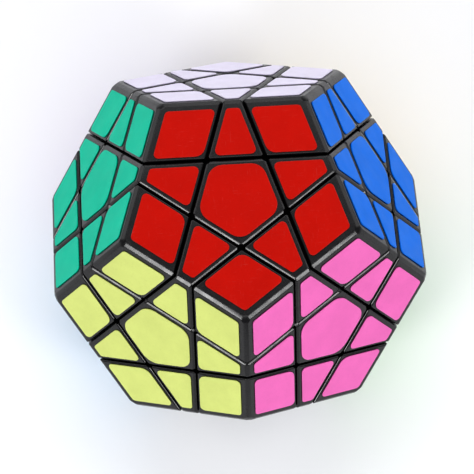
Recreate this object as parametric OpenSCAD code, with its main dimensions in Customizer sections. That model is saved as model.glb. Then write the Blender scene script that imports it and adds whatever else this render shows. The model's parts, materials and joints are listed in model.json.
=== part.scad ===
// Twelve-sided twisty puzzle: a dodecahedron whose twelve face layers turn about a central core.
// Millimetres, +Z up. The puzzle stands on one face, whose sheets of vinyl rest on z = 0.
//
// How it goes together, from the middle out:
//   core      a ball with twelve posts, one behind each face
//   hub       a centre piece's tube and plate, held on its post by a screw, washer and spring
//   cap       the flat lid that closes each hub over its screw
//   edge      a two-sided piece, whose foot slides under the hubs beside it
//   corner    a three-sided piece, whose foot slides under the edges beside it
//   stickers  thin coloured sheets, one on every visible flat
//
// Each layer meets the rest along one surface of revolution about its face's axis: a flat
// cut outside the seat sphere, and a wider cone inside it, which is what traps the feet.
// Three layers whose faces share no corner (top, lower right, lower left) are laid out as
// turning bodies, and the rest stays with the core.

/* [Overall] */
// Length of one edge of the dodecahedron, mm
edge_length = 30; // [20:0.5:60]
// Inradius of a centre piece as a share of the whole face's inradius
cut_share = 0.395; // [0.37:0.005:0.42]
// Width of the joint left between neighbouring pieces, mm
gap = 0.3; // [0.15:0.05:0.5]
// How far the long outer edges of the plastic are planed back, mm
ridge_break = 0.3; // [0.05:0.05:0.6]
// How far the edges along the cuts are planed back, mm
cut_break = 0.16; // [0.05:0.02:0.3]

/* [Stickers] */
// Thickness of the vinyl, mm
sticker_thickness = 0.25; // [0.1:0.05:0.6]
// Bare plastic left on each side of a joint, mm
sticker_margin = 1.0; // [0.5:0.05:2]
// Bare plastic left along the outer edges of the body, mm
outer_margin = 1.65; // [0.5:0.05:2]
// Corner radius of the pentagon in the middle of a face, mm
centre_round = 3.2; // [0.5:0.1:4]
// Radius of a corner sticker's inner corner, mm
kite_round = 2.2; // [0.5:0.1:4]
// Radius of a corner sticker's other corners, mm
kite_tip_round = 0.9; // [0.3:0.1:1.5]
// Radius of an edge sticker's two corners by the centre, mm
wedge_round = 1.0; // [0.3:0.1:2]
// Radius of an edge sticker's two corners by the ridge, mm
wedge_tip_round = 0.7; // [0.3:0.1:1]

/* [Mechanism] */
// Radius of the seat sphere that the feet slide under, for a 30 mm edge
seat_size = 30.5; // [29.5:0.1:31.5]
// Radius of the feet's inner surface, for a 30 mm edge
foot_floor_size = 24.5; // [23.5:0.1:27]
// Half-angle of the cone that bounds a layer's feet, degrees
foot_angle = 49; // [47:0.5:50]
// Radius of the core's ball, for a 30 mm edge
ball_size = 12; // [9:0.5:14]
// Turns of wire in each spring
spring_turns = 3.5; // [2:0.5:5]

/* [Hidden] */
$fn = 64;

// ---- proportions of a regular dodecahedron
face_angle = acos(1 / sqrt(5));             // between the normals of two neighbouring faces
mid_tilt = face_angle / 2;                  // from a face's normal to the middle of its edge
vertex_tilt = acos(sqrt((5 + 2 * sqrt(5)) / 15)); // from a face's normal to its corner
face_distance = edge_length * sqrt((25 + 11 * sqrt(5)) / 10) / 2;
face_inradius = edge_length / (2 * tan(36));
vertex_distance = face_distance / cos(vertex_tilt);

// ---- the cuts
u = edge_length / 30;                       // one unit of the mechanism
cut_line = cut_share * face_inradius;       // from a face's middle to its cut lines
cut_depth = face_distance * cos(face_angle) + cut_line * sin(face_angle);
seat = seat_size * u;
foot_floor = foot_floor_size * u;
cone_height = 42 * u;                       // of a foot cone, from its tip to well past the seat
big = 100 * u;                              // wider than the whole puzzle

// ---- how far the other edges of a moving piece are planed back
own_cut_break = 2.4 * cut_break;            // a face with a cut of the piece's own layer
cross_break = 3 * cut_break;                // a cut of its own layer with another layer's
twin_cut_break = 2 * cut_break;             // two cuts of the same kind
tip_break = 2.2 * ridge_break;              // the tip where three ridges meet

// ---- the necks that join a moving piece's outer part to its foot
neck_floor = 26.5 * u;
edge_neck = [7.2 * u, 8 * u, 6.5 * u];
corner_neck_radius = 2.1 * u;
corner_neck_height = 7 * u;

// ---- the stack of parts along each face's axis, measured from the middle of the core
pilot_floor = 8 * u;
screw_tip = 9 * u;
post_top = 18.5 * u;
hub_floor = 18.8 * u;
spring_floor = 20.8 * u;
plate_floor = 25 * u;                       // below the seat, which hollows the plate's underside
washer_floor = 26.1 * u;
head_floor = 26.6 * u;
head_top = 28.4 * u;
cap_thickness = 1.6 * u;
cap_floor = face_distance - cap_thickness;
plug_depth = 1.2 * u;
overlap = 0.4 * u;                          // how far two joined shapes run into each other

// ---- their radii
post_radius = 3.5 * u;
stalk_radius = 5.7 * u;
bore_radius = 4.2 * u;
plug_radius = 4.1 * u;
shank_radius = 1.4 * u;
shank_hole_radius = 1.8 * u;
pilot_radius = 1.3 * u;
head_radius = 3.4 * u;
washer_radius = 3.9 * u;
washer_hole_radius = 1.6 * u;

// ---- the cross in each screw's head
slot_length = 3.6 * u;
slot_width = 0.7 * u;
slot_depth = 1 * u;

// ---- the springs
wire_radius = 0.4 * u;
coil_radius = 3.0 * u;
spring_play = 0.1 * u;                      // left at each end of a spring
steps_per_turn = 10;
wire_sides = 6;

// ---- straight steps in a sticker's rounded corners
arc_steps = 4;
centre_arc_steps = 6;

// ---- the middle of the core above the table
centre_height = face_distance + sticker_thickness;

// Faces 0 to 5 are the top and the five around it; 6 to 11 are the same, turned over.
TOP = 0;
RIGHT = 8;
LEFT = 11;
TURNING = [TOP, RIGHT, LEFT];

BLACK = [0.035, 0.035, 0.04];
NYLON = [0.82, 0.82, 0.80];
STEEL = [0.62, 0.63, 0.65];
RED = [0.78, 0.08, 0.03];
WHITE = [0.93, 0.93, 0.93];
BLUE = [0.08, 0.45, 0.93];
PINK = [0.95, 0.38, 0.68];
PALE_YELLOW = [0.88, 0.88, 0.45];
TEAL = [0.07, 0.70, 0.56];
ORANGE = [0.95, 0.42, 0.06];
GREY = [0.55, 0.56, 0.58];
GREEN = [0.35, 0.80, 0.15];
YELLOW = [0.98, 0.82, 0.05];
PURPLE = [0.45, 0.20, 0.65];
LIGHT_BLUE = [0.45, 0.75, 0.93];

// ---- directions ----------------------------------------------------------------------
// On the top face, side k looks along 90 + 72 k degrees from +X, and corner k lies at 126 + 72 k.

function turn_z(v, a) = [v.x * cos(a) - v.y * sin(a), v.x * sin(a) + v.y * cos(a), v.z];
function turn_x(v, a) = [v.x, v.y * cos(a) - v.z * sin(a), v.y * sin(a) + v.z * cos(a)];
function from_upper(v, f) =
    f == 0 ? v : turn_z(turn_x(turn_z(v, 180), -face_angle), -72 * (f - 1));
function from_face(v, f) = f < 6 ? from_upper(v, f) : turn_x(from_upper(v, f - 6), 180);
function normal(f) = from_face([0, 0, 1], f);
function is_same(v, w) = norm(v - w) < 0.01;

// The face across side k of face f; corner k lies between sides k and k + 1.
function across(f, k) =
    let (side = from_face(turn_z([0, sin(face_angle), cos(face_angle)], 72 * k), f))
    [for (i = [0:11]) if (is_same(normal(i), side)) i][0];
function turns(f) = len(search(f, TURNING)) > 0;
function edge_faces(f, k) = [f, across(f, k)];
function corner_faces(f, k) = [f, across(f, k), across(f, (k + 1) % 5)];
function is_first(f, faces) = f == min(faces);
function stays(faces) = len([for (i = faces) if (turns(i)) i]) == 0;

// Moves something drawn on the top face to face f.
module on_face(f) {
    if (f < 6) on_upper(f) children();
    else rotate([180, 0, 0]) on_upper(f - 6) children();
}

module on_upper(f) {
    if (f == 0) children();
    else rotate([0, 0, -72 * (f - 1)]) rotate([-face_angle, 0, 0]) rotate([0, 0, 180]) children();
}

// Points +Z at an azimuth and a tilt from the vertical.
module toward(azimuth, tilt) {
    rotate([0, 0, azimuth - 90]) rotate([-tilt, 0, 0]) children();
}

module lifted() {
    translate([0, 0, centre_height]) children();
}

// ---- solids that cut the pieces --------------------------------------------------------

// Everything between two planes square to +Z.
module slab(low, high) {
    translate([-big / 2, -big / 2, low]) cube([big, big, high - low]);
}

// The outer part of a layer: past the cut, and inside the body's face.
module in_layer(f) {
    on_face(f) slab(cut_depth + gap / 2, face_distance);
}

module out_of_layer(f) {
    on_face(f) slab(0, cut_depth - gap / 2);
}

// Everything on the near side of a plane square to v, at a distance from the middle.
module behind(v, distance) {
    d = unit(v);
    rotate([0, acos(d.z), atan2(d.y, d.x)]) slab(-big / 2, distance);
}

// Planes that break the piece's edges. Each edge lies between two flats, and each flat is a
// face of the body or a cut. A piece is past the cuts of its own layers and short of others.
module ridge(a, b) {
    v = normal(a) + normal(b);
    behind(v, 2 * face_distance / norm(v) - ridge_break);
}

module face_and_own_cut(a, b) {
    v = normal(a) - normal(b);
    behind(v, (face_distance - cut_depth - gap / 2) / norm(v) - own_cut_break);
}

module face_and_other_cut(a, b) {
    v = normal(a) + normal(b);
    behind(v, (face_distance + cut_depth - gap / 2) / norm(v) - cut_break);
}

module two_own_cuts(a, b) {
    v = -normal(a) - normal(b);
    behind(v, -2 * (cut_depth + gap / 2) / norm(v) - twin_cut_break);
}

module own_and_other_cut(a, b) {
    v = normal(b) - normal(a);
    behind(v, -gap / norm(v) - cross_break);
}

module two_other_cuts(a, b) {
    v = normal(a) + normal(b);
    behind(v, 2 * (cut_depth - gap / 2) / norm(v) - twin_cut_break);
}

// The cone that bounds a layer's feet, moved in or out by half a gap.
module foot_cone(f, inset) {
    on_face(f) translate([0, 0, inset / sin(foot_angle)])
        cylinder(h = cone_height, r1 = 0, r2 = cone_height * tan(foot_angle));
}

// ---- moving pieces, drawn on the top face ----------------------------------------------

module edge_piece() {
    difference() {
        intersection() {
            in_layer(0);
            in_layer(1);
            out_of_layer(2);
            out_of_layer(5);
            ridge(0, 1);
            face_and_own_cut(0, 1);
            face_and_own_cut(1, 0);
            face_and_other_cut(0, 2);
            face_and_other_cut(0, 5);
            face_and_other_cut(1, 2);
            face_and_other_cut(1, 5);
            own_and_other_cut(0, 2);
            own_and_other_cut(0, 5);
            own_and_other_cut(1, 2);
            own_and_other_cut(1, 5);
        }
        sphere(r = seat + gap / 2);
    }
    difference() {
        intersection() {
            sphere(r = seat - gap / 2);
            foot_cone(0, gap / 2);
            foot_cone(1, gap / 2);
        }
        sphere(r = foot_floor);
        foot_cone(2, -gap / 2);
        foot_cone(5, -gap / 2);
    }
    toward(90, mid_tilt) translate([-edge_neck.x / 2, -edge_neck.y / 2, neck_floor]) cube(edge_neck);
}

module corner_piece() {
    difference() {
        intersection() {
            in_layer(0);
            in_layer(1);
            in_layer(5);
            ridge(0, 1);
            ridge(0, 5);
            ridge(1, 5);
            toward(126, vertex_tilt) slab(0, vertex_distance - tip_break);
            face_and_own_cut(0, 1);
            face_and_own_cut(0, 5);
            face_and_own_cut(1, 0);
            face_and_own_cut(1, 5);
            face_and_own_cut(5, 0);
            face_and_own_cut(5, 1);
            two_own_cuts(0, 1);
            two_own_cuts(0, 5);
            two_own_cuts(1, 5);
        }
        sphere(r = seat + gap / 2);
    }
    difference() {
        intersection() {
            sphere(r = seat - gap / 2);
            foot_cone(0, gap / 2);
            foot_cone(1, gap / 2);
            foot_cone(5, gap / 2);
        }
        sphere(r = foot_floor);
    }
    toward(126, vertex_tilt) translate([0, 0, neck_floor])
        cylinder(h = corner_neck_height, r = corner_neck_radius);
}

// ---- centre pieces, drawn on the top face ----------------------------------------------

module centre_outline(low, high) {
    intersection() {
        slab(low, high);
        out_of_layer(1);
        out_of_layer(2);
        out_of_layer(3);
        out_of_layer(4);
        out_of_layer(5);
        two_other_cuts(1, 2);
        two_other_cuts(2, 3);
        two_other_cuts(3, 4);
        two_other_cuts(4, 5);
        two_other_cuts(5, 1);
    }
}

module hub() {
    difference() {
        union() {
            difference() {
                centre_outline(plate_floor, cap_floor);
                sphere(r = seat + gap / 2);
            }
            translate([0, 0, hub_floor])
                cylinder(h = cap_floor - overlap - hub_floor, r = stalk_radius);
        }
        translate([0, 0, spring_floor]) cylinder(h = face_distance - spring_floor, r = bore_radius);
        translate([0, 0, hub_floor - u])
            cylinder(h = spring_floor - hub_floor + 2 * u, r = shank_hole_radius);
    }
}

module cap() {
    intersection() {
        centre_outline(cap_floor, face_distance);
        face_and_other_cut(0, 1);
        face_and_other_cut(0, 2);
        face_and_other_cut(0, 3);
        face_and_other_cut(0, 4);
        face_and_other_cut(0, 5);
    }
    translate([0, 0, cap_floor - plug_depth]) cylinder(h = plug_depth + overlap, r = plug_radius);
}

// ---- fixings, drawn on the top face ----------------------------------------------------

module screw() {
    difference() {
        translate([0, 0, head_floor]) cylinder(h = head_top - head_floor, r = head_radius);
        for (a = [0, 90])
            rotate([0, 0, a]) translate([-slot_length / 2, -slot_width / 2, head_top - slot_depth])
                cube([slot_length, slot_width, 2 * slot_depth]);
    }
    translate([0, 0, screw_tip]) cylinder(h = head_floor + overlap - screw_tip, r = shank_radius);
}

module washer() {
    translate([0, 0, washer_floor]) difference() {
        cylinder(h = head_floor - washer_floor, r = washer_radius);
        translate([0, 0, -u]) cylinder(h = 3 * u, r = washer_hole_radius);
    }
}

// A helix of round wire: one ring of points for each step of the sweep.
module spring() {
    n = wire_sides;
    steps = steps_per_turn * spring_turns;
    low = spring_floor + spring_play + wire_radius;
    high = washer_floor - spring_play - wire_radius;
    points = [for (i = [0:steps]) for (j = [0:n - 1])
        let (a = 360 * i / steps_per_turn, b = 360 * j / n, r = coil_radius + wire_radius * cos(b))
        [r * cos(a), r * sin(a), low + (high - low) * i / steps + wire_radius * sin(b)]];
    sides = [for (i = [0:steps - 1]) for (j = [0:n - 1])
        let (a = i * n + j, b = i * n + (j + 1) % n)
        each [[a, a + n, b], [b, a + n, b + n]]];
    ends = [for (j = [1:n - 2]) each [[0, j, j + 1], [steps * n, steps * n + j + 1, steps * n + j]]];
    polyhedron(points = points, faces = concat(sides, ends), convexity = 8);
}

// ---- stickers, drawn on the top face ---------------------------------------------------

// Where two lines meet, each given by the direction and length of its normal.
function meet(a, d, b, e) =
    [(d * sin(b) - e * sin(a)) / sin(b - a), (e * cos(a) - d * cos(b)) / sin(b - a)];
function unit(v) = v / norm(v);
function wrap(a) = a > 180 ? a - 360 : a < -180 ? a + 360 : a;

// The arc that rounds the corner at b, between a and c.
function corner_arc(a, b, c, r, n) =
    let (p = unit(a - b), q = unit(c - b), half = acos(p * q) / 2,
         middle = b + unit(p + q) * r / sin(half),
         from = b + p * r / tan(half) - middle, to = b + q * r / tan(half) - middle,
         start = atan2(from.y, from.x), sweep = wrap(atan2(to.y, to.x) - start))
    [for (i = [0:n]) middle + r * [cos(start + sweep * i / n), sin(start + sweep * i / n)]];
function rounded(points, radii, n) =
    let (m = len(points))
    [for (i = [0:m - 1])
        each corner_arc(points[(i + m - 1) % m], points[i], points[(i + 1) % m], radii[i], n)];

module sheet(outline) {
    translate([0, 0, face_distance]) linear_extrude(height = sticker_thickness) polygon(outline);
}

module centre_sticker() {
    d = cut_line - sticker_margin;
    sheet(rounded([for (k = [0:4]) meet(90 + 72 * k, d, 162 + 72 * k, d)],
        [for (k = [0:4]) centre_round], centre_arc_steps));
}

module edge_sticker() {
    inner = cut_line - sticker_margin;
    base = cut_line + sticker_margin;
    top = face_inradius - outer_margin;
    sheet(rounded([meet(90, base, 18, inner), meet(90, top, 18, inner),
        meet(90, top, 162, inner), meet(90, base, 162, inner)],
        [wedge_round, wedge_tip_round, wedge_tip_round, wedge_round], arc_steps));
}

module corner_sticker() {
    base = cut_line + sticker_margin;
    top = face_inradius - outer_margin;
    sheet(rounded([meet(90, base, 162, base), meet(90, top, 162, base),
        meet(90, top, 162, top), meet(90, base, 162, top)],
        [kite_round, kite_tip_round, kite_tip_round, kite_tip_round], arc_steps));
}

// ---- sets of pieces --------------------------------------------------------------------

module layer_edges(f) {
    lifted() for (k = [0:4]) on_face(f) rotate([0, 0, 72 * k]) edge_piece();
}

module layer_corners(f) {
    lifted() for (k = [0:4]) on_face(f) rotate([0, 0, 72 * k]) corner_piece();
}

// The stickers on face f whose piece belongs to the given layer.
module shared_stickers(f, layer) {
    lifted() for (k = [0:4]) if (across(f, k) == layer) on_face(f) {
        rotate([0, 0, 72 * k]) edge_sticker();
        rotate([0, 0, 72 * k]) corner_sticker();
        rotate([0, 0, 72 * (k - 1)]) corner_sticker();
    }
}

// All eleven stickers of a face that turns with its own layer.
module whole_face(f) {
    lifted() on_face(f) {
        centre_sticker();
        for (k = [0:4]) rotate([0, 0, 72 * k]) {
            edge_sticker();
            corner_sticker();
        }
    }
}

// The stickers of face f that belong to no turning layer.
module still_stickers(f) {
    lifted() on_face(f) {
        centre_sticker();
        for (k = [0:4]) {
            if (stays(edge_faces(f, k))) rotate([0, 0, 72 * k]) edge_sticker();
            if (stays(corner_faces(f, k))) rotate([0, 0, 72 * k]) corner_sticker();
        }
    }
}

module one_hub(f) {
    lifted() on_face(f) hub();
}

module one_cap(f) {
    lifted() on_face(f) cap();
}

// ---- nodes -----------------------------------------------------------------------------

module core() color(NYLON) lifted() difference() {
    union() {
        sphere(r = ball_size * u);
        for (f = [0:11]) on_face(f) cylinder(h = post_top, r = post_radius);
    }
    for (f = [0:11]) on_face(f) translate([0, 0, pilot_floor]) cylinder(h = post_top, r = pilot_radius);
}
module springs() color(STEEL) lifted() for (f = [0:11]) on_face(f) spring();
module washers() color(STEEL) lifted() for (f = [0:11]) on_face(f) washer();
module screws() color(STEEL) lifted() for (f = [0:11]) on_face(f) screw();

module top_hub() color(BLACK) one_hub(TOP);
module right_hub() color(BLACK) one_hub(RIGHT);
module left_hub() color(BLACK) one_hub(LEFT);
module fixed_hubs() color(BLACK) for (f = [0:11]) if (!turns(f)) one_hub(f);

module red_cap() color(BLACK) one_cap(0);
module white_cap() color(BLACK) one_cap(1);
module blue_cap() color(BLACK) one_cap(2);
module pink_cap() color(BLACK) one_cap(3);
module pale_yellow_cap() color(BLACK) one_cap(4);
module teal_cap() color(BLACK) one_cap(5);
module orange_cap() color(BLACK) one_cap(6);
module grey_cap() color(BLACK) one_cap(7);
module green_cap() color(BLACK) one_cap(8);
module yellow_cap() color(BLACK) one_cap(9);
module purple_cap() color(BLACK) one_cap(10);
module light_blue_cap() color(BLACK) one_cap(11);

module top_edges() color(BLACK) layer_edges(TOP);
module right_edges() color(BLACK) layer_edges(RIGHT);
module left_edges() color(BLACK) layer_edges(LEFT);
module fixed_edges() color(BLACK) lifted()
    for (f = [0:11]) for (k = [0:4])
        if (is_first(f, edge_faces(f, k)) && stays(edge_faces(f, k)))
            on_face(f) rotate([0, 0, 72 * k]) edge_piece();

module top_corners() color(BLACK) layer_corners(TOP);
module right_corners() color(BLACK) layer_corners(RIGHT);
module left_corners() color(BLACK) layer_corners(LEFT);
module fixed_corners() color(BLACK) lifted()
    for (f = [0:11]) for (k = [0:4])
        if (is_first(f, corner_faces(f, k)) && stays(corner_faces(f, k)))
            on_face(f) rotate([0, 0, 72 * k]) corner_piece();

module top_red_stickers() color(RED) whole_face(TOP);
module top_white_stickers() color(WHITE) shared_stickers(1, TOP);
module top_blue_stickers() color(BLUE) shared_stickers(2, TOP);
module top_pink_stickers() color(PINK) shared_stickers(3, TOP);
module top_pale_yellow_stickers() color(PALE_YELLOW) shared_stickers(4, TOP);
module top_teal_stickers() color(TEAL) shared_stickers(5, TOP);

module right_green_stickers() color(GREEN) whole_face(RIGHT);
module right_blue_stickers() color(BLUE) shared_stickers(2, RIGHT);
module right_pink_stickers() color(PINK) shared_stickers(3, RIGHT);
module right_grey_stickers() color(GREY) shared_stickers(7, RIGHT);
module right_yellow_stickers() color(YELLOW) shared_stickers(9, RIGHT);
module right_orange_stickers() color(ORANGE) shared_stickers(6, RIGHT);

module left_light_blue_stickers() color(LIGHT_BLUE) whole_face(LEFT);
module left_pale_yellow_stickers() color(PALE_YELLOW) shared_stickers(4, LEFT);
module left_teal_stickers() color(TEAL) shared_stickers(5, LEFT);
module left_grey_stickers() color(GREY) shared_stickers(7, LEFT);
module left_purple_stickers() color(PURPLE) shared_stickers(10, LEFT);
module left_orange_stickers() color(ORANGE) shared_stickers(6, LEFT);

module fixed_white_stickers() color(WHITE) still_stickers(1);
module fixed_blue_stickers() color(BLUE) still_stickers(2);
module fixed_pink_stickers() color(PINK) still_stickers(3);
module fixed_pale_yellow_stickers() color(PALE_YELLOW) still_stickers(4);
module fixed_teal_stickers() color(TEAL) still_stickers(5);
module fixed_orange_stickers() color(ORANGE) still_stickers(6);
module fixed_grey_stickers() color(GREY) still_stickers(7);
module fixed_yellow_stickers() color(YELLOW) still_stickers(9);
module fixed_purple_stickers() color(PURPLE) still_stickers(10);

core();
springs();
washers();
screws();
top_hub();
right_hub();
left_hub();
fixed_hubs();
red_cap();
white_cap();
blue_cap();
pink_cap();
pale_yellow_cap();
teal_cap();
orange_cap();
grey_cap();
green_cap();
yellow_cap();
purple_cap();
light_blue_cap();
top_edges();
right_edges();
left_edges();
fixed_edges();
top_corners();
right_corners();
left_corners();
fixed_corners();
top_red_stickers();
top_white_stickers();
top_blue_stickers();
top_pink_stickers();
top_pale_yellow_stickers();
top_teal_stickers();
right_green_stickers();
right_blue_stickers();
right_pink_stickers();
right_grey_stickers();
right_yellow_stickers();
right_orange_stickers();
left_light_blue_stickers();
left_pale_yellow_stickers();
left_teal_stickers();
left_grey_stickers();
left_purple_stickers();
left_orange_stickers();
fixed_white_stickers();
fixed_blue_stickers();
fixed_pink_stickers();
fixed_pale_yellow_stickers();
fixed_teal_stickers();
fixed_orange_stickers();
fixed_grey_stickers();
fixed_yellow_stickers();
fixed_purple_stickers();
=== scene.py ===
"""A twelve-sided twisty puzzle on a pale table, seen from high in front, in soft studio light."""
import json
import math

import bpy
from mathutils import Matrix, Vector

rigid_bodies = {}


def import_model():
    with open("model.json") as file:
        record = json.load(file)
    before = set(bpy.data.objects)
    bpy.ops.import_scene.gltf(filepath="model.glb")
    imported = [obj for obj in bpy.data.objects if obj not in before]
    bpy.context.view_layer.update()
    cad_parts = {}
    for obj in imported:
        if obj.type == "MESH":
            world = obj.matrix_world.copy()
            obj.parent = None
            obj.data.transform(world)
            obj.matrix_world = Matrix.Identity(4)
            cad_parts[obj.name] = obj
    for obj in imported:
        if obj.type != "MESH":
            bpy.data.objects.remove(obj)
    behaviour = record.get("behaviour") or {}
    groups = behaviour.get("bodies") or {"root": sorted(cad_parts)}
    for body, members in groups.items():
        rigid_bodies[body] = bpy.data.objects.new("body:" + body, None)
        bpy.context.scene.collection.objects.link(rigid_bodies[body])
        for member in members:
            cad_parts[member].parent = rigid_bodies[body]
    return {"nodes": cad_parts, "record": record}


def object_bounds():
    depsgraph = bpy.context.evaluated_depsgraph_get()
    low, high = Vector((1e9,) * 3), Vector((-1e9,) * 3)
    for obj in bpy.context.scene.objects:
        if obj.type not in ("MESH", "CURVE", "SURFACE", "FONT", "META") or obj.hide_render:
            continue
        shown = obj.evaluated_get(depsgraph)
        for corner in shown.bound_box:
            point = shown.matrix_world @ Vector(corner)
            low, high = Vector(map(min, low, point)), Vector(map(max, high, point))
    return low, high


for factory_object in list(bpy.data.objects):
    bpy.data.objects.remove(factory_object)
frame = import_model()
cad_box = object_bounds()
MM = 0.001
scene = bpy.context.scene
centre = (cad_box[0] + cad_box[1]) / 2

# ---------------------------------------------------------------- node helpers

SHARE = (0, 1)
NOISE_RANGE = (0.3, 0.7)  # nearly all of a noise's values lie in it
EDGE_SAMPLES = 6
# A Mix node has several sockets of one name, so its colour sockets go by their places.
MIX_FACTOR, MIX_A, MIX_B, MIX_RESULT = 0, 6, 7, 2


class Tree:
    """A short way to write a material's nodes."""

    def __init__(self, name):
        self.material = bpy.data.materials.new(name)
        self.material.use_nodes = True
        self.nodes = self.material.node_tree.nodes
        self.links = self.material.node_tree.links
        self.nodes.clear()
        self.output = self.nodes.new("ShaderNodeOutputMaterial")
        self.shader = self.nodes.new("ShaderNodeBsdfPrincipled")
        self.links.new(self.shader.outputs["BSDF"], self.output.inputs["Surface"])
        self.place = self.nodes.new("ShaderNodeTexCoord").outputs["Object"]
        self.geometry = self.nodes.new("ShaderNodeNewGeometry")

    def link(self, source, target):
        self.links.new(source, target)

    def stretched(self, scale, turn=(0, 0, 0)):
        """The place on the object, scaled along each axis and then turned by angles in radians."""
        node = self.nodes.new("ShaderNodeMapping")
        node.inputs["Scale"].default_value = scale
        node.inputs["Rotation"].default_value = turn
        self.link(self.place, node.inputs["Vector"])
        return node.outputs["Vector"]

    def noise(self, per_metre=1, detail=2.0, rough=0.5, where=None):
        """A cloudy pattern from 0 to 1 with so many features to a metre.

        A stretched place has its scale in it already, and leaves per_metre at 1.
        """
        node = self.nodes.new("ShaderNodeTexNoise")
        node.inputs["Scale"].default_value = per_metre
        node.inputs["Detail"].default_value = detail
        node.inputs["Roughness"].default_value = rough
        self.link(where or self.place, node.inputs["Vector"])
        return node.outputs["Fac"]

    def spread(self, value, between=NOISE_RANGE, to=SHARE):
        """Carries a value over from one range to another, and holds it at the ends."""
        node = self.nodes.new("ShaderNodeMapRange")
        node.inputs["From Min"].default_value, node.inputs["From Max"].default_value = between
        node.inputs["To Min"].default_value, node.inputs["To Max"].default_value = to
        self.link(value, node.inputs["Value"])
        return node.outputs["Result"]

    def mix(self, factor, a, b):
        node = self.nodes.new("ShaderNodeMix")
        node.data_type = "RGBA"
        self.link(factor, node.inputs[MIX_FACTOR])
        for socket, colour in ((node.inputs[MIX_A], a), (node.inputs[MIX_B], b)):
            if isinstance(colour, tuple):
                socket.default_value = (*colour, 1)
            else:
                self.link(colour, socket)
        return node.outputs[MIX_RESULT]

    def math(self, kind, a, b):
        node = self.nodes.new("ShaderNodeMath")
        node.operation = kind
        for socket, value in zip(node.inputs, (a, b)):
            if isinstance(value, (int, float)):
                socket.default_value = value
            else:
                self.link(value, socket)
        return node.outputs["Value"]

    def bump(self, height, strength, distance, under=None):
        node = self.nodes.new("ShaderNodeBump")
        node.inputs["Strength"].default_value = strength
        node.inputs["Distance"].default_value = distance
        self.link(height, node.inputs["Height"])
        if under is not None:
            self.link(under, node.inputs["Normal"])
        return node.outputs["Normal"]

    def edge_mask(self, radius, flat, sharp):
        """0 on flat ground and 1 where the surface turns within the radius.

        flat and sharp are the cosines of the turns at which the mask is 0 and 1.
        """
        rounded = self.nodes.new("ShaderNodeBevel")
        rounded.samples = EDGE_SAMPLES
        rounded.inputs["Radius"].default_value = radius
        dot = self.nodes.new("ShaderNodeVectorMath")
        dot.operation = "DOT_PRODUCT"
        self.link(rounded.outputs["Normal"], dot.inputs[0])
        self.link(self.geometry.outputs["Normal"], dot.inputs[1])
        return self.spread(dot.outputs["Value"], between=(flat, sharp))

    def piece_share(self):
        """A number from 0 to 1 for each separate piece of a mesh."""
        return self.geometry.outputs["Random Per Island"]


def linear(colour):
    """A colour as seen on a screen, 0 to 255, in the shader's own units by the sRGB curve."""
    shares = (c / 255 for c in colour)
    return tuple(c / 12.92 if c <= 0.04045 else ((c + 0.055) / 1.055) ** 2.4 for c in shares)


def times(colour, share):
    """A lighter or darker tone of a colour."""
    return tuple(min(1.0, c * share) for c in colour)


def whitened(colour, keep, white):
    """A colour with a share of it kept and some white let through: paler for wear, and for a
    painted highlight on sticker edges.
    """
    return tuple(c * keep + white for c in colour)


# ---------------------------------------------------------------- materials


def vinyl(name, colour):
    """Printed vinyl film: satin, a little uneven, with hairline scratches, and cut edges painted
    paler, partly as wear and partly as a painted highlight where they catch the light.
    """
    t = Tree(name)
    ink = linear(colour)
    thick_coat, thin_coat = times(ink, 0.95), times(ink, 1.03)
    aged, specked = times(ink, 0.75), times(ink, 0.7)
    # The paler edge tone is partly wear and partly a painted highlight where the cut edge catches
    # the light; the scratched tone is wear.
    pale_edge_tone, scratched = whitened(ink, keep=0.72, white=0.22), whitened(ink, keep=0.6, white=0.3)
    scratch_tint, scratch_roughness = 0.14, 0.16

    clouds = t.spread(t.noise(per_metre=160, detail=4, rough=0.6), between=(0.32, 0.68))
    tone = t.mix(clouds, thick_coat, thin_coat)
    age = t.spread(t.piece_share(), between=SHARE, to=(0, 0.06))
    tone = t.mix(age, tone, aged)
    specks = t.spread(t.noise(per_metre=2600, rough=0.6), between=(0.56, 0.72), to=(0, 0.16))
    tone = t.mix(specks, tone, specked)

    # Cut edges painted paler in patches: partly rubbing wear, partly a painted highlight along the
    # edge.
    edge = t.edge_mask(radius=0.30 * MM, flat=0.985, sharp=0.80)
    patchy = t.noise(per_metre=900, detail=3, rough=0.6)
    patchy = t.spread(patchy, between=(0.38, 0.62), to=(0.10, 0.42))
    tone = t.mix(t.math("MULTIPLY", edge, patchy), tone, pale_edge_tone)

    # Hairlines are a noise drawn out along X or Y, cut off so that only its peaks show. The
    # turns keep the noise's own grid off the axes.
    long_in_x = t.stretched((420, 9000, 2600), turn=(0.4, 0.9, 0.7))
    long_in_y = t.stretched((8200, 380, 3100), turn=(1.1, 0.3, 0.2))
    one_way = t.spread(t.noise(rough=0.6, where=long_in_x), between=(0.66, 0.74))
    other_way = t.spread(t.noise(rough=0.6, where=long_in_y), between=(0.67, 0.75))
    scratches = t.math("MAXIMUM", one_way, other_way)
    tone = t.mix(t.math("MULTIPLY", scratches, scratch_tint), tone, scratched)
    t.link(tone, t.shader.inputs["Base Color"])

    rough = t.spread(t.noise(per_metre=260), to=(0.34, 0.44))
    rough = t.math("ADD", rough, t.math("MULTIPLY", scratches, scratch_roughness))
    t.link(rough, t.shader.inputs["Roughness"])
    t.shader.inputs["Specular IOR Level"].default_value = 0.1

    orange_peel = t.bump(t.noise(per_metre=1100), strength=0.12, distance=0.05 * MM)
    relief = t.bump(scratches, strength=0.16, distance=0.02 * MM, under=orange_peel)
    t.link(relief, t.shader.inputs["Normal"])
    return t.material


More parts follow.
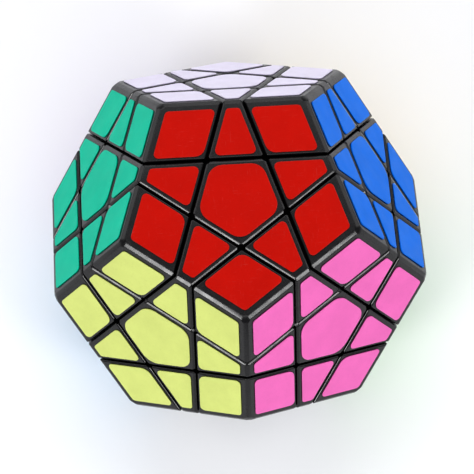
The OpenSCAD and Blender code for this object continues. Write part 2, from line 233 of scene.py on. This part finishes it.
def black_plastic(name):
    """Moulded black plastic with a fine satin texture, rubbed paler where edges are handled."""
    t = Tree(name)
    dark, pale_edge_tone = (0.0034, 0.0030, 0.0036), (0.011, 0.010, 0.012)
    dusty = times(dark, 1.6)
    edge_polish = 0.04

    edge = t.edge_mask(radius=0.28 * MM, flat=0.99, sharp=0.86)
    patchy = t.noise(per_metre=700, detail=4, rough=0.65)
    patchy = t.spread(patchy, between=(0.42, 0.62), to=(0.15, 1))
    tone = t.mix(t.spread(t.noise(per_metre=300, detail=3)), dark, dusty)
    tone = t.mix(t.math("MULTIPLY", edge, patchy), tone, pale_edge_tone)
    t.link(tone, t.shader.inputs["Base Color"])

    rough = t.spread(t.noise(per_metre=420, detail=3), to=(0.22, 0.30))
    rough = t.math("SUBTRACT", rough, t.math("MULTIPLY", edge, edge_polish))
    t.link(rough, t.shader.inputs["Roughness"])
    t.shader.inputs["Specular IOR Level"].default_value = 0.65

    grain = t.bump(t.noise(per_metre=4600), strength=0.20, distance=0.03 * MM)
    t.link(grain, t.shader.inputs["Normal"])
    return t.material


def core_plastic(name):
    """Unpainted moulded nylon, milky white and matte."""
    t = Tree(name)
    milky, pale = (0.62, 0.62, 0.59), (0.70, 0.70, 0.67)
    tone = t.mix(t.spread(t.noise(per_metre=150, detail=3)), milky, pale)
    t.link(tone, t.shader.inputs["Base Color"])
    rough = t.spread(t.noise(per_metre=500), to=(0.42, 0.55))
    t.link(rough, t.shader.inputs["Roughness"])
    grain = t.bump(t.noise(per_metre=3000), strength=0.12, distance=0.03 * MM)
    t.link(grain, t.shader.inputs["Normal"])
    return t.material


def steel(name):
    """Zinc-bright steel with fine turning marks."""
    t = Tree(name)
    dull, bright = (0.52, 0.53, 0.55), (0.64, 0.65, 0.66)
    t.shader.inputs["Metallic"].default_value = 1.0
    tone = t.mix(t.spread(t.noise(per_metre=400, detail=3)), dull, bright)
    t.link(tone, t.shader.inputs["Base Color"])
    turning = t.noise(where=t.stretched((2500, 2500, 14000)))
    t.link(t.spread(turning, to=(0.22, 0.38)), t.shader.inputs["Roughness"])
    relief = t.bump(turning, strength=0.15, distance=0.02 * MM)
    t.link(relief, t.shader.inputs["Normal"])
    return t.material


# Each sticker's ink as it looks on a screen, 0 to 255.
INKS = {
    "red_vinyl": (183, 27, 13),
    "white_vinyl": (226, 220, 237),
    "blue_vinyl": (0, 121, 224),
    "pink_vinyl": (234, 125, 190),
    "pale_yellow_vinyl": (210, 219, 136),
    "teal_vinyl": (0, 190, 159),
    "orange_vinyl": (240, 112, 16),
    "grey_vinyl": (150, 152, 156),
    "green_vinyl": (88, 200, 22),
    "yellow_vinyl": (248, 208, 6),
    "purple_vinyl": (118, 44, 174),
    "light_blue_vinyl": (108, 192, 238),
}
looks = {slot: vinyl(slot + "_look", ink) for slot, ink in INKS.items()}
looks["black_body"] = black_plastic("black_body_look")
looks["core_plastic"] = core_plastic("core_plastic_look")
looks["steel"] = steel("steel_look")

# ---------------------------------------------------------------- surfaces of the CAD pieces

JOIN_DISTANCE = 0.002 * MM
STICKER_ROUND, PLASTIC_ROUND = 0.07 * MM, 0.12 * MM
STICKER_TURN, PLASTIC_TURN = 60, 24  # the least turn of an edge that is rounded, in degrees
ROUND_SEGMENTS = 2
FLATNESS = 60  # how far a large face outweighs a small one in shading, where 50 is not at all


def smoothing_group():
    """Joins each solid's faces and shades them smooth, so that narrow broken edges look round."""
    group = bpy.data.node_groups.new("join_and_smooth", "GeometryNodeTree")
    group.interface.new_socket("Geometry", in_out="INPUT", socket_type="NodeSocketGeometry")
    group.interface.new_socket("Geometry", in_out="OUTPUT", socket_type="NodeSocketGeometry")
    start = group.nodes.new("NodeGroupInput")
    merge = group.nodes.new("GeometryNodeMergeByDistance")
    merge.inputs["Distance"].default_value = JOIN_DISTANCE
    smooth = group.nodes.new("GeometryNodeSetShadeSmooth")
    end = group.nodes.new("NodeGroupOutput")
    group.links.new(start.outputs["Geometry"], merge.inputs["Geometry"])
    group.links.new(merge.outputs["Geometry"], smooth.inputs["Geometry"])
    group.links.new(smooth.outputs["Geometry"], end.inputs["Geometry"])
    return group


def round_edges(obj, width, least_angle):
    """Rounds the edges of a mesh that turn by more than an angle in degrees."""
    rim = obj.modifiers.new("rim", "BEVEL")
    rim.width = width
    rim.segments = ROUND_SEGMENTS
    rim.limit_method = "ANGLE"
    rim.angle_limit = math.radians(least_angle)
    rim.use_clamp_overlap = False


join_and_smooth = smoothing_group()
slot_of = {row["node"]: row["material_slot"] for row in frame["record"]["subparts"]}
for name, obj in frame["nodes"].items():
    slot = slot_of[name]
    for place in obj.material_slots:
        place.material = looks[slot]
    obj.modifiers.new("join", "NODES").node_group = join_and_smooth
    if slot.endswith("_vinyl"):
        round_edges(obj, STICKER_ROUND, STICKER_TURN)
    elif name.endswith(("_cap", "_edges", "_corners")):
        round_edges(obj, PLASTIC_ROUND, PLASTIC_TURN)
    normals = obj.modifiers.new("normals", "WEIGHTED_NORMAL")
    normals.weight = FLATNESS
    normals.keep_sharp = False

# ---------------------------------------------------------------- table

TABLE_REACH = 3.0


def table_look(name):
    """A pale laminate, all but white."""
    t = Tree(name)
    grey, white = (0.835, 0.835, 0.847), (0.875, 0.875, 0.885)
    tone = t.mix(t.spread(t.noise(per_metre=6)), grey, white)
    t.link(tone, t.shader.inputs["Base Color"])
    rough = t.spread(t.noise(per_metre=30), to=(0.5, 0.6))
    t.link(rough, t.shader.inputs["Roughness"])
    return t.material


corners = [(x * TABLE_REACH, y * TABLE_REACH, 0) for x, y in ((-1, -1), (1, -1), (1, 1), (-1, 1))]
floor = bpy.data.objects.new("table_top", bpy.data.meshes.new("table_top"))
floor.data.from_pydata(corners, [], [(0, 1, 2, 3)])
scene.collection.objects.link(floor)
floor.data.materials.append(table_look("table_look"))

# ---------------------------------------------------------------- light

ROOM_COLOUR, ROOM_STRENGTH = (0.93, 0.95, 1.0), 0.28
LAMP_DISTANCE = 1.1  # from the puzzle's centre, in metres
# Each square lamp's bearing as on a compass from +Y and its elevation, in degrees, then its
# width in metres and its power in watts. The two at the front are small, to draw a bright
# line along the ridges, and the low ones stand for a white room.
LAMPS = {
    "key": (180, 65, 0.9, 2.9),
    "front_left": (225, 37, 0.28, 2.7),
    "front_right": (133, 37, 0.28, 2.1),
    "back": (0, 50, 0.9, 3.45),
    "left": (302, 23, 0.6, 1.2),
    "right": (58, 23, 0.6, 1.2),
    "low_back": (1, 13, 0.4, 0.45),
}


def softbox(name, bearing, elevation, size, power):
    """A square area light that faces the puzzle."""
    b, e = math.radians(bearing), math.radians(elevation)
    away = Vector((math.sin(b) * math.cos(e), math.cos(b) * math.cos(e), math.sin(e)))
    lamp = bpy.data.lights.new(name, "AREA")
    lamp.size = size
    lamp.energy = power
    obj = bpy.data.objects.new(name, lamp)
    obj.location = centre + away * LAMP_DISTANCE
    obj.rotation_mode = "QUATERNION"
    obj.rotation_quaternion = away.to_track_quat("Z", "Y")
    scene.collection.objects.link(obj)


world = bpy.data.worlds.new("studio")
world.use_nodes = True
world.node_tree.nodes["Background"].inputs["Color"].default_value = (*ROOM_COLOUR, 1)
world.node_tree.nodes["Background"].inputs["Strength"].default_value = ROOM_STRENGTH
scene.world = world
scene.view_settings.view_transform = "Standard"
scene.view_settings.look = "High Contrast"
for name, (bearing, elevation, size, power) in LAMPS.items():
    softbox(name, bearing, elevation, size, power)

# ---------------------------------------------------------------- camera

# The puzzle is seen from above its near side, a little to the left, on a long lens.
VIEW_AZIMUTH = math.radians(-95.3)
VIEW_ELEVATION = math.radians(76.4)
VIEW_ROLL = math.radians(2.0)
VIEW_DISTANCE = 0.732
LENS, SENSOR = 262, 36        # mm
NEAREST, FARTHEST = 0.01, 20  # what the camera draws, in metres

across = math.cos(VIEW_ELEVATION)
away = Vector((
    math.cos(VIEW_AZIMUTH) * across, math.sin(VIEW_AZIMUTH) * across, math.sin(VIEW_ELEVATION)
))
camera = bpy.data.objects.new("camera", bpy.data.cameras.new("camera"))
camera.data.lens = LENS
camera.data.sensor_width = SENSOR
camera.data.clip_start = NEAREST
camera.data.clip_end = FARTHEST
camera.rotation_mode = "QUATERNION"
camera.location = centre + away * VIEW_DISTANCE
turned = away.to_track_quat("Z", "Y").to_matrix() @ Matrix.Rotation(VIEW_ROLL, 3, "Z")
camera.rotation_quaternion = turned.to_quaternion()
scene.collection.objects.link(camera)
scene.camera = camera
